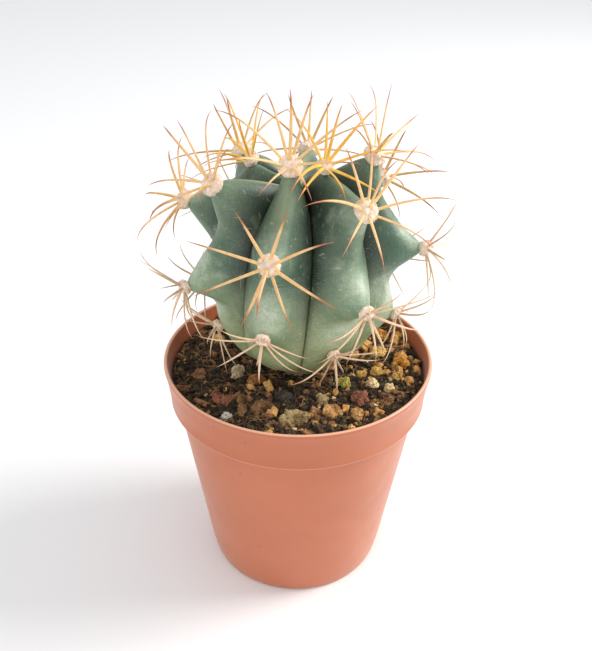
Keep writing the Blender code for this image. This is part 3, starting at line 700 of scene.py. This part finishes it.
def make_fibres(ground, solids):
    """Peat fibres and fine roots lying over the mix."""
    unit, faces = unit_strand(5, FIBRE_STEPS)
    draw = random.Random("fibres")
    heap = Heap()
    for _ in range(FIBRES):
        reach = (SOIL_RADIUS - 2.0 * MM) * math.sqrt(draw.uniform(0.03, 1.0))
        turn = draw.uniform(0, 2 * math.pi)
        start = Vector((reach * math.sin(turn), -reach * math.cos(turn), 0.0))
        heading = draw.uniform(0, 2 * math.pi)
        length = draw.uniform(2.0, 7.5) * MM
        path = []
        for step in range(FIBRE_STEPS + 1):
            spot = start + Vector((math.cos(heading), math.sin(heading), 0.0)) * length * step / FIBRE_STEPS
            heading += draw.uniform(-0.3, 0.3)
            away = math.hypot(spot.x, spot.y)
            if away > SOIL_RADIUS - 0.6 * MM:
                spot *= (SOIL_RADIUS - 0.6 * MM) / away
            lift = (0.25 + 0.7 * math.sin(math.pi * step / FIBRE_STEPS) * draw.random()) * MM
            path.append(list(ground_below(ground, spot.x, spot.y) + Vector((0.0, 0.0, lift))))
        if any(solids.find_nearest(Vector(point), 0.2 * MM)[0] for point in path):
            continue
        thick = (0.045 + 0.13 * draw.random() ** 2.5) * MM
        radii = [thick * (1 - 0.6 * step / FIBRE_STEPS) for step in range(FIBRE_STEPS + 1)]
        heap.add(strand_points(unit, path, radii), faces)
    rooted(heap.piece("peat_fibres", FIBRE), "peat")


# Stones, bark and pumice


def merged_copy(name):
    """A copy of a solid node with its loose triangles joined up."""
    piece = bpy.data.objects.new(name + "_copy", frame["nodes"][name].data.copy())
    bpy.context.scene.collection.objects.link(piece)
    make_active(piece)
    bpy.ops.object.mode_set(mode="EDIT")
    bpy.ops.mesh.select_all(action="SELECT")
    bpy.ops.mesh.remove_doubles(threshold=0.001 * MM)
    bpy.ops.object.mode_set(mode="OBJECT")
    return piece


def refine(piece, name, steps, kind):
    """Adds a subdivision of this kind."""
    finer = piece.modifiers.new(name, "SUBSURF")
    finer.levels = finer.render_levels = steps
    finer.subdivision_type = kind


def roughen(piece, size, strength):
    """Adds lumps of about this size, up to half the strength in and out."""
    texture = bpy.data.textures.new(f"clouds_{size}", "CLOUDS")
    texture.noise_scale = size
    texture.noise_depth = 3
    push = piece.modifiers.new("roughen", "DISPLACE")
    push.texture = texture
    push.strength = strength
    push.mid_level = 0.5


def make_loose():
    """Each loose piece of grit or bark, with its own worn surface."""
    slots = {part["node"]: part["material_slot"] for part in frame["record"]["subparts"]}
    for name in sorted(slots):
        finish = slots[name]
        if finish not in LOOSE:
            continue
        pumice = "pumice" in finish
        bark = "bark" in finish
        piece = merged_copy(name)
        refine(piece, "finer", 1 if pumice or bark else 2, "CATMULL_CLARK" if pumice else "SIMPLE")
        refine(piece, "finest", 3 if pumice or bark else 2, "SIMPLE")
        if bark:
            lumps = ((1.3, 1.5), (0.4, 0.8))
        elif pumice or finish == "perlite":
            lumps = ((1.2, 1.2), (0.4, 0.6))
        else:
            lumps = ((1.4, 1.7), (0.45, 0.7))
        for size, strength in lumps:
            roughen(piece, size * MM, strength * MM)
        apply_all(piece)
        settle(piece, name + "_worn", LOOSE[finish], 32)
        rooted(piece, finish, name)


# Stem


def half_barrel(below):
    """The squareness and height of the stem's lower or upper half."""
    return (LOWER_SQUARENESS, LOWER_HEIGHT) if below else (UPPER_SQUARENESS, UPPER_HEIGHT)


def barrel_point(azimuth, latitude):
    """A point of the stem before its ribs grow; below the root's latitude it lies on the root."""
    squareness, height = half_barrel(latitude < 0)
    radius = STEM_RADIUS * max(math.cos(latitude), 0.0) ** (2 / squareness)
    level = math.copysign(height, latitude) * abs(math.sin(latitude)) ** (2 / squareness)
    if latitude < ROOT_LATITUDE:
        share = math.sin(math.pi / 2 * (ROOT_LATITUDE - latitude) / (ROOT_LATITUDE + math.pi / 2))
        radius = ROOT_RADIUS * math.sqrt(max(1 - share**2, 0.0))
        level = ROOT_TOP - STEM_MIDDLE - share * ROOT_LENGTH
    return Vector((radius * math.sin(azimuth), -radius * math.cos(azimuth), level))


def inside_barrel(point):
    squareness, height = half_barrel(point.z < 0)
    across = math.hypot(point.x, point.y) / STEM_RADIUS
    return across**squareness + (abs(point.z) / height) ** squareness < 1


def rib_azimuth(rib, height):
    return RIB_AZIMUTHS[rib] + RIB_TWIST * (height - ENVELOPE_CENTRE - 5.5 * MM) / MM


class Tubercle:
    """Where a tubercle grew from, where its tip stands and the way it faces."""

    def __init__(self, rib, height, reach):
        self.rib = rib
        azimuth = math.radians(rib_azimuth(rib, height))
        outward = Vector((math.sin(azimuth), -math.cos(azimuth), 0.0))
        self.sideways = Vector((math.cos(azimuth), math.sin(azimuth), 0.0))
        crown = ENVELOPE_CENTRE + ENVELOPE_HALF_HEIGHT
        share = max(height - FACING_START, 0.0) / (crown - FACING_START)
        facing = math.radians(LOWEST_FACING + (CROWN_FACING - LOWEST_FACING) * share**FACING_POWER)
        self.facing = outward * math.cos(facing) + Vector((0.0, 0.0, math.sin(facing)))
        growth = outward * math.cos(0.75 * facing) + Vector((0.0, 0.0, math.sin(0.75 * facing)))
        middle = outward * reach + Vector((0.0, 0.0, SOIL_TOP + height - STEM_MIDDLE))
        self.tip = middle - TIP_INSET * self.facing
        youth = min(max((height - YOUNG_START) / (crown - YOUNG_START), 0.0), 1.0)
        self.length = TUBERCLE_LENGTH * (1 + CROWN_LENGTHENING * youth)
        seat = self.tip.copy()
        while not inside_barrel(seat):
            seat -= growth * 0.2 * MM
        levels = [math.pi * (ring / SOLID_RINGS - 0.5) for ring in range(1, SOLID_RINGS)]
        ridge = [stem_point(rib, 0.0, latitude, [])[0] for latitude in levels]
        self.seat = min(ridge, key=lambda corner: (corner - seat).length)


def pull(share):
    """How far a tubercle draws a point out, from its share of the way to the tubercle's edge."""
    blunt = math.hypot(share, TUBERCLE_ROUNDING) - TUBERCLE_ROUNDING
    whole = math.hypot(1.0, TUBERCLE_ROUNDING) - TUBERCLE_ROUNDING
    return max(1 - blunt / whole, 0.0) ** TUBERCLE_POWER


def stem_point(rib, across, latitude, tubercles):
    """A point of the grown stem from its middle, and how much a tubercle has drawn it out."""
    beside = RIB_AZIMUTHS[(rib + (1 if across > 0 else -1)) % len(RIB_AZIMUTHS)]
    half_gap = ((beside - RIB_AZIMUTHS[rib] + 180) % 360 - 180) / 2
    straight = barrel_point(0.0, latitude)
    height = STEM_MIDDLE + straight.z - SOIL_TOP
    azimuth = math.radians(rib_azimuth(rib, height) + abs(across) * half_gap)
    point = barrel_point(azimuth, latitude)
    fade = min(max((latitude - ROOT_LATITUDE) / math.radians(CREASE_FADE), 0.0), 1.0)
    groove = BROAD_CREASE * abs(across) ** CREASE_POWER
    groove += NARROW_CREASE * abs(across) ** NARROW_CREASE_POWER
    point *= 1 - CREASE_SHARE * fade * groove
    if latitude > 0:
        across_crown = math.hypot(point.x, point.y)
        point.z -= CROWN_DIP * math.exp(-((across_crown / CROWN_DIP_RADIUS) ** 2))
    held = 1 - abs(across) ** CREASE_POWER
    moved = point.copy()
    drawn = 0.0
    for tubercle in tubercles:
        if tubercle.rib != rib:
            continue
        offset = point - tubercle.seat
        side = offset.dot(tubercle.sideways)
        along = (offset - side * tubercle.sideways).length
        share = pull(math.hypot(side / TUBERCLE_WIDTH, along / tubercle.length)) * held
        moved += share * (tubercle.tip - tubercle.seat)
        drawn = max(drawn, share)
    return moved, drawn


def grown_tubercles():
    tubercles = []
    for rib, heights in enumerate(RIB_AREOLES):
        for height in heights:
            offset = (height * MM - ENVELOPE_CENTRE) / ENVELOPE_HALF_HEIGHT
            tubercles.append(Tubercle(rib, height * MM, ENVELOPE_RADIUS * math.sqrt(1 - offset**2)))
    for rib, height, reach in CROWN_AREOLES:
        tubercles.append(Tubercle(rib, height * MM, reach * MM))
    return tubercles


def make_stem(tubercles):
    """The ribbed body in fine steps, and what its skin needs to know: ridge (painted light on the crests,
    painted shade in the hollows), saddle (a painted highlight), bloom and level.
    """
    ribs = len(RIB_AZIMUTHS)
    deselect_all()
    bpy.ops.mesh.primitive_uv_sphere_add(
        segments=ribs * COLUMNS_PER_RIB, ring_count=STEM_RINGS, radius=1.0, location=(0.0, 0.0, 0.0)
    )
    stem = bpy.context.object
    patches = [
        one.tip - one.facing * MM + Vector((0.0, 0.0, BLOOM_LIFT))
        for one in tubercles
        if one.tip.z + STEM_MIDDLE - SOIL_TOP < BLOOM_TOP
    ]
    ridges, saddles, blooms, levels = [], [], [], []
    for corner in stem.data.vertices:
        latitude = math.asin(min(max(corner.co.z, -1.0), 1.0))
        column = math.atan2(corner.co.x, -corner.co.y) / (2 * math.pi) * ribs
        rib = round(column)
        across = 2 * (column - rib)
        place, drawn = stem_point(rib % ribs, across, latitude, tubercles)
        place *= 1 + SKIN_WAVER * noise.fractal(place / (5 * MM), 0.9, 2.0, 3)
        corner.co = place + Vector((0.0, 0.0, STEM_MIDDLE))
        # the ridge value places painted light on the crests and painted shade in the hollows, with less light
        # towards the crown
        crest = 1 - abs(across) ** 2.5
        least = 0.62 - 0.36 * max(math.sin(latitude), 0.0)
        ridges.append(crest * (least + (1 - least) * drawn))
        # the saddle value places a painted highlight along the rib tops between the tubercles
        saddles.append(max(0.0, 1 - abs(across) / 0.5) * max(0.0, math.sin(latitude)) ** 2 * (1 - drawn))
        nearest = min((place - patch).length for patch in patches)
        blooms.append(max(0.0, 1 - nearest / BLOOM_REACH))
        levels.append(min(max((corner.co.z - STEM_FOOT) / LEVEL_SPAN, 0.0), 1.0))
    for name, values in (("ridge", ridges), ("saddle", saddles), ("bloom", blooms), ("level", levels)):
        stem.data.attributes.new(name, "FLOAT", "POINT")
        stem.data.attributes[name].data.foreach_set("value", np.array(values, np.float32))
    settle(stem, "stem_ribbed", STEM_SKIN)
    rooted(stem, "stem_skin", "stem")


# Areoles


def spine_roots(name):
    """The (root, middle, tip) of each spine of a solid node: the longest of its pointed ends."""
    data = frame["nodes"][name].data
    keys, places = {}, []
    for corner in data.vertices:
        key = tuple(round(value * 1e6) for value in corner.co)
        if key not in keys:
            keys[key] = len(places)
            places.append(corner.co.copy())
    index = [keys[tuple(round(value * 1e6) for value in corner.co)] for corner in data.vertices]
    beside = [set() for _ in places]
    for face in data.polygons:
        ring = [index[corner] for corner in face.vertices]
        for first, second in zip(ring, ring[1:] + ring[:1]):
            beside[first].add(second)
            beside[second].add(first)
    spines = []
    for tip, around in enumerate(beside):
        if len(around) not in TIP_CORNERS:
            continue
        edges = [(places[a] - places[b]).length for a in around for b in around & beside[a] if a < b]
        reach = min((places[corner] - places[tip]).length for corner in around)
        if len(edges) != len(around):
            continue
        below = set().union(*(beside[corner] for corner in around)) - around - {tip}
        middle = sum((places[corner] for corner in around), Vector()) / len(around)
        root = sum((places[corner] for corner in below), Vector()) / len(below)
        spines.append((reach / max(edges), (root, middle, places[tip])))
    spines.sort(key=lambda spine: -spine[0])
    return [spine for _, spine in spines[:SPINES]]


def curved_path(root, middle, tip, bulge, steps):
    """Points along a curve from root to tip that bulges past the middle."""
    bend = 2 * middle - (root + tip) / 2 + bulge
    path = []
    for step in range(steps + 1):
        share = step / steps
        path.append(list((1 - share) ** 2 * root + 2 * share * (1 - share) * bend + share**2 * tip))
    return path


class Areole:
    """Where the spines of a solid areole stand, its pad and the way it faces."""

    def __init__(self, name):
        self.name = name
        self.draw = random.Random(name)
        self.spines = spine_roots(name)
        self.roots = np.array([list(root) for root, _, _ in self.spines])
        spread = np.linalg.norm(self.roots - self.roots.mean(axis=0), axis=1)
        self.central = int(np.argmin(spread))
        radial = np.delete(self.roots, self.central, axis=0)
        self.centre = radial.mean(axis=0)
        self.facing = np.linalg.svd(radial - self.centre)[2][2]
        outward = float(self.facing @ (self.roots[self.central] - self.centre))
        self.facing *= math.copysign(1.0, outward)
        self.pad_radius = np.linalg.norm(radial - self.centre, axis=1).mean() / SPINE_CIRCLE
        self.level = (self.centre[2] - SOIL_TOP) / AREOLE_SPAN
        self.crown = self.level > CROWN_LEVEL
        self.young = self.level > YOUNG_LEVEL

    def finish(self):
        if self.crown and self.pad_radius < LARGE_PAD:
            return CROWN_SPINE
        return YOUNG_SPINE if self.young else OLD_SPINE

    def grow_spines(self, unit, faces):
        """Each spine along its solid one, with a bend of its own."""
        draw = self.draw
        sways = YOUNG_SWAY if self.young else OLD_SWAY
        flat = 0.62 if self.crown else 0.85
        facing = Vector(self.facing)
        heap = Heap()
        for order, (root, middle, tip) in enumerate(self.spines):
            length = (tip - root).length
            bulge = facing * length * draw.uniform(0.05, 0.17)
            bulge += Vector([draw.uniform(low, high) for low, high in sways]) * length
            start = root - (root - Vector(self.centre)) * 0.55 - facing * 0.2 * MM
            path = curved_path(start, middle, tip, bulge, SPINE_STEPS)
            thick = (0.30 if self.young else 0.21 + 0.06 * self.level) * MM
            if order == self.central:
                thick *= 1.2
            thick *= draw.uniform(0.8, 1.12)
            thick = min(thick, length * 0.05)
            steps = range(SPINE_STEPS + 1)
            radii = [thick * (1 - (step / SPINE_STEPS) ** 1.5) + 0.012 * MM for step in steps]
            heap.add(strand_points(unit, path, radii, flat, self.facing), faces, unit[:, 2])
        rooted(heap.piece(self.name + "_grown", self.finish()), "spine", self.name)

    def grow_wool(self, wool_shape, hair_unit):
        """The lumpy pad, stained around its spines, and the hairs that stand off it."""
        draw = self.draw
        across = np.cross(self.facing, (0.31, 0.17, 0.94))
        across /= np.linalg.norm(across)
        basis = np.stack([across, np.cross(self.facing, across), self.facing])
        wool_radius = self.pad_radius * (0.84 if self.young else 0.72)
        middle = self.centre - self.facing * 0.34 * self.pad_radius
        heap = Heap()
        lumps, stains = [], []
        points, faces = wool_shape
        for point in points:
            swell = 1 + 0.16 * noise.noise(Vector(point) * 2.6 + Vector(middle) * 700)
            swell += 0.10 * noise.noise(Vector(point) * 7.0 + Vector(middle) * 500)
            local = point * swell * np.array([1.0, 1.0, 0.72 if point[2] > 0 else 0.75]) * wool_radius
            spot = middle + local @ basis
            lumps.append(spot)
            near = min(np.linalg.norm(spot - root) for root in self.roots)
            stains.append(max(0.0, 1 - near / (0.55 * MM)) * 0.8)
        heap.add(np.array(lumps), faces, np.array(stains))
        points, faces = hair_unit
        for _ in range(HAIRS):
            turn = draw.uniform(0, 2 * math.pi)
            rise = draw.uniform(0.05, 1.0)
            level = math.sqrt(1 - rise**2)
            out = np.array([level * math.cos(turn), level * math.sin(turn), rise])
            start = middle + (out * np.array([0.95, 0.95, 0.66]) * wool_radius) @ basis
            lean = np.array([draw.uniform(-0.7, 0.7) for _ in range(3)])
            lead = out @ basis + lean
            lead /= np.linalg.norm(lead)
            length = draw.uniform(0.2, 0.5) * MM * (0.6 + 0.4 * wool_radius / LARGE_PAD)
            curl = np.array([draw.uniform(-0.25, 0.25) for _ in range(3)]) * length
            path = [start, start + lead * length * 0.5 + curl, start + lead * length]
            heap.add(strand_points(points, path, [0.045 * MM, 0.035 * MM, 0.006 * MM]), faces)
        rooted(heap.piece(self.name.replace("spines", "wool"), WOOL), "spine")


def make_areoles():
    """The spines and the wool of every areole."""
    spine_unit = unit_strand(8, SPINE_STEPS)
    hair_unit = unit_strand(3, 2)
    deselect_all()
    bpy.ops.mesh.primitive_ico_sphere_add(subdivisions=4, radius=1.0, location=(0.0, 0.0, 0.0))
    wool_shape = shape_of(bpy.context.object)
    for name in sorted(frame["nodes"]):
        if name.startswith("spines"):
            areole = Areole(name)
            areole.grow_spines(*spine_unit)
            areole.grow_wool(wool_shape, hair_unit)


# Studio


def plain_finish(name, colour):
    material, _, shader = new_finish(name)
    shader.inputs["Base Color"].default_value = (*colour, 1.0)
    shader.inputs["Roughness"].default_value = 0.9
    shader.inputs["Specular IOR Level"].default_value = 0.1
    return material


def make_studio():
    """A pale floor that reaches past the camera on every side."""
    deselect_all()
    bpy.ops.mesh.primitive_plane_add(size=5.0, location=(0.0, 0.0, 0.0))
    floor = bpy.context.object
    floor.name = "studio_floor"
    floor.data.materials.append(plain_finish("studio_white", (0.90, 0.905, 0.91)))


def area_light(name, place, size, power, colour):
    data = bpy.data.lights.new(name, "AREA")
    data.shape = "DISK"
    data.size = size
    data.energy = power
    data.color = colour
    light = bpy.data.objects.new(name, data)
    bpy.context.scene.collection.objects.link(light)
    light.location = place
    light.rotation_euler = (Vector((0.0, 0.0, 0.06)) - Vector(place)).to_track_quat("-Z", "Y").to_euler()


def make_lights():
    world = bpy.data.worlds.new("studio_air")
    world.use_nodes = True
    sky = world.node_tree.nodes["Background"]
    sky.inputs["Color"].default_value = (0.975, 0.985, 1.0, 1.0)
    sky.inputs["Strength"].default_value = 0.84
    bpy.context.scene.world = world
    area_light("window", (0.48, 0.08, 0.42), 0.30, 3.2, (1.0, 0.985, 0.96))
    area_light("fill", (-0.35, -0.45, 0.35), 0.5, 0.6, (1.0, 1.0, 1.0))
    bpy.context.scene.view_settings.view_transform = "Standard"


def make_camera():
    """Looks down at the pot from the front."""
    pitch = math.radians(PITCH)
    roll = math.radians(ROLL)
    right = Vector((1.0, 0.0, 0.0))
    up = Vector((0.0, math.sin(pitch), math.cos(pitch)))
    forward = Vector((0.0, math.cos(pitch), -math.sin(pitch)))
    aim = Vector((0.0, 0.0, POT_HEIGHT))
    place = aim - (ASIDE * right - RAISED * up + DISTANCE * forward)
    across = math.cos(roll) * right + math.sin(roll) * up
    above = -math.sin(roll) * right + math.cos(roll) * up
    data = bpy.data.cameras.new("camera")
    data.lens = LENS
    data.sensor_width = 36.0
    data.clip_start = 1 * MM
    camera = bpy.data.objects.new("camera", data)
    bpy.context.scene.collection.objects.link(camera)
    turn = Matrix((across, above, -forward)).transposed().to_4x4()
    camera.matrix_world = Matrix.Translation(place) @ turn
    bpy.context.scene.camera = camera


make_studio()
make_lights()
make_camera()
make_pot()
ground = surface_of(make_soil())
solids = solid_tree()
make_crumbs(ground, solids)
make_fibres(ground, solids)
make_loose()
make_stem(grown_tubercles())
make_areoles()
